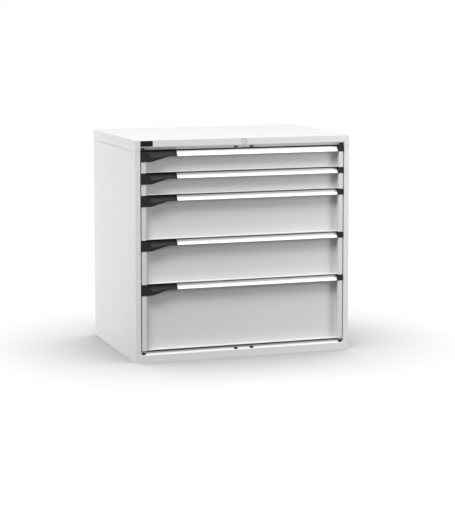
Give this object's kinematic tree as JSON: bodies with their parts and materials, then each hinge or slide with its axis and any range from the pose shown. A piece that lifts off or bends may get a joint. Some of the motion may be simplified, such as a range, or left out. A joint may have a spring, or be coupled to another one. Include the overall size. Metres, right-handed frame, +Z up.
{
  "type": "drawer cabinet",
  "caption": "Industrial steel drawer cabinet with full-width drawers of three heights, recessed handles with inclined label strips, press latches and a central lock.",
  "frame": {"origin": "centre of the footprint at floor level", "axes": "+X to the right seen from the front, +Y to the back, +Z up; the drawers open along -Y"},
  "size_m": [1.023, 0.725, 1],
  "materials": {
    "housing_paint": "light warm grey powder coat, satin",
    "front_paint": "light warm grey powder coat, satin",
    "tray_paint": "light warm grey powder coat, satin",
    "inner_steel": "zinc plated",
    "handle_aluminium": "anodised extrusion",
    "label_white": "blank white label card",
    "handle_black": "fine textured moulding",
    "lever_grey": "fine textured moulding",
    "lock_chrome": "satin nickel",
    "badge_black": "plain black plate"
  },
  "bodies": {
    "housing": {"left_side_panel": "housing_paint", "right_side_panel": "housing_paint", "rear_panel": "housing_paint", "top_cover": "housing_paint", "base_pan": "housing_paint", "left_front_upright": "inner_steel", "left_rear_upright": "inner_steel", "right_front_upright": "inner_steel", "right_rear_upright": "inner_steel", "lock_housing": "lock_chrome", "badge_plate": "badge_black", "cabinet_rails_1": "inner_steel", "cabinet_rails_2": "inner_steel", "cabinet_rails_3": "inner_steel", "cabinet_rails_4": "inner_steel", "cabinet_rails_5": "inner_steel"},
    "lock_plug": {"lock_cylinder": "lock_chrome"},
    "lock_slide": {"lock_slide": "inner_steel"},
    "lock_bar": {"lock_bar": "inner_steel"},
    "drawer_1": {"drawer_tray_1": "tray_paint", "drawer_front_1": "front_paint", "handle_profile_1": "handle_aluminium", "label_strip_1": "label_white", "handle_left_end_1": "handle_black", "handle_right_end_1": "handle_black"},
    "latch_1": {"latch_lever_1": "lever_grey"},
    "runner_1": {"middle_rails_1": "inner_steel"},
    "drawer_2": {"drawer_tray_2": "tray_paint", "drawer_front_2": "front_paint", "handle_profile_2": "handle_aluminium", "label_strip_2": "label_white", "handle_left_end_2": "handle_black", "handle_right_end_2": "handle_black"},
    "latch_2": {"latch_lever_2": "lever_grey"},
    "runner_2": {"middle_rails_2": "inner_steel"},
    "drawer_3": {"drawer_tray_3": "tray_paint", "drawer_front_3": "front_paint", "handle_profile_3": "handle_aluminium", "label_strip_3": "label_white", "handle_left_end_3": "handle_black", "handle_right_end_3": "handle_black"},
    "latch_3": {"latch_lever_3": "lever_grey"},
    "runner_3": {"middle_rails_3": "inner_steel"},
    "drawer_4": {"drawer_tray_4": "tray_paint", "drawer_front_4": "front_paint", "handle_profile_4": "handle_aluminium", "label_strip_4": "label_white", "handle_left_end_4": "handle_black", "handle_right_end_4": "handle_black"},
    "latch_4": {"latch_lever_4": "lever_grey"},
    "runner_4": {"middle_rails_4": "inner_steel"},
    "drawer_5": {"drawer_tray_5": "tray_paint", "drawer_front_5": "front_paint", "handle_profile_5": "handle_aluminium", "label_strip_5": "label_white", "handle_left_end_5": "handle_black", "handle_right_end_5": "handle_black"},
    "latch_5": {"latch_lever_5": "lever_grey"},
    "runner_5": {"middle_rails_5": "inner_steel"}
  },
  "joints": [
    {"name": "lock_turn", "type": "hinge", "parent": "housing", "child": "lock_plug", "pos_m": [0, -0.3315, 0.984], "axis": [0, -1, 0], "range_deg": [0, 90]},
    {"name": "lock_slide_travel", "type": "slide", "parent": "housing", "child": "lock_slide", "axis": [1, 0, 0], "range_m": [0, 0.01415]},
    {"name": "lock_bar_lift", "type": "slide", "parent": "housing", "child": "lock_bar", "axis": [0, 0, 1], "range_m": [0, 0.0141]},
    {"name": "drawer_slide_1", "type": "slide", "parent": "housing", "child": "drawer_1", "axis": [0, -1, 0], "range_m": [0, 0.6]},
    {"name": "runner_slide_1", "type": "slide", "parent": "housing", "child": "runner_1", "axis": [0, -1, 0], "range_m": [0, 0.3]},
    {"name": "latch_press_1", "type": "hinge", "parent": "drawer_1", "child": "latch_1", "pos_m": [0, -0.34487, 0.94385], "axis": [1, 0, 0], "range_deg": [0, 8], "stiffness_Nm_per_rad": 0.05, "springref_deg": -17.19},
    {"name": "drawer_slide_2", "type": "slide", "parent": "housing", "child": "drawer_2", "axis": [0, -1, 0], "range_m": [0, 0.6]},
    {"name": "runner_slide_2", "type": "slide", "parent": "housing", "child": "runner_2", "axis": [0, -1, 0], "range_m": [0, 0.3]},
    {"name": "latch_press_2", "type": "hinge", "parent": "drawer_2", "child": "latch_2", "pos_m": [0, -0.34487, 0.84385], "axis": [1, 0, 0], "range_deg": [0, 8], "stiffness_Nm_per_rad": 0.05, "springref_deg": -17.19},
    {"name": "drawer_slide_3", "type": "slide", "parent": "housing", "child": "drawer_3", "axis": [0, -1, 0], "range_m": [0, 0.6]},
    {"name": "runner_slide_3", "type": "slide", "parent": "housing", "child": "runner_3", "axis": [0, -1, 0], "range_m": [0, 0.3]},
    {"name": "latch_press_3", "type": "hinge", "parent": "drawer_3", "child": "latch_3", "pos_m": [0, -0.34487, 0.74385], "axis": [1, 0, 0], "range_deg": [0, 8], "stiffness_Nm_per_rad": 0.05, "springref_deg": -17.19},
    {"name": "drawer_slide_4", "type": "slide", "parent": "housing", "child": "drawer_4", "axis": [0, -1, 0], "range_m": [0, 0.6]},
    {"name": "runner_slide_4", "type": "slide", "parent": "housing", "child": "runner_4", "axis": [0, -1, 0], "range_m": [0, 0.3]},
    {"name": "latch_press_4", "type": "hinge", "parent": "drawer_4", "child": "latch_4", "pos_m": [0, -0.34487, 0.54385], "axis": [1, 0, 0], "range_deg": [0, 8], "stiffness_Nm_per_rad": 0.05, "springref_deg": -17.19},
    {"name": "drawer_slide_5", "type": "slide", "parent": "housing", "child": "drawer_5", "axis": [0, -1, 0], "range_m": [0, 0.6]},
    {"name": "runner_slide_5", "type": "slide", "parent": "housing", "child": "runner_5", "axis": [0, -1, 0], "range_m": [0, 0.3]},
    {"name": "latch_press_5", "type": "hinge", "parent": "drawer_5", "child": "latch_5", "pos_m": [0, -0.34487, 0.34385], "axis": [1, 0, 0], "range_deg": [0, 8], "stiffness_Nm_per_rad": 0.05, "springref_deg": -17.19}
  ],
  "couplings": [
    {"joint": "lock_slide_travel", "follows": "lock_bar_lift", "ratio": 1},
    {"joint": "lock_turn", "follows": "lock_bar_lift", "rad_per_m": 111.07},
    {"joint": "runner_slide_1", "follows": "drawer_slide_1", "ratio": 0.5},
    {"joint": "runner_slide_2", "follows": "drawer_slide_2", "ratio": 0.5},
    {"joint": "runner_slide_3", "follows": "drawer_slide_3", "ratio": 0.5},
    {"joint": "runner_slide_4", "follows": "drawer_slide_4", "ratio": 0.5},
    {"joint": "runner_slide_5", "follows": "drawer_slide_5", "ratio": 0.5}
  ]
}
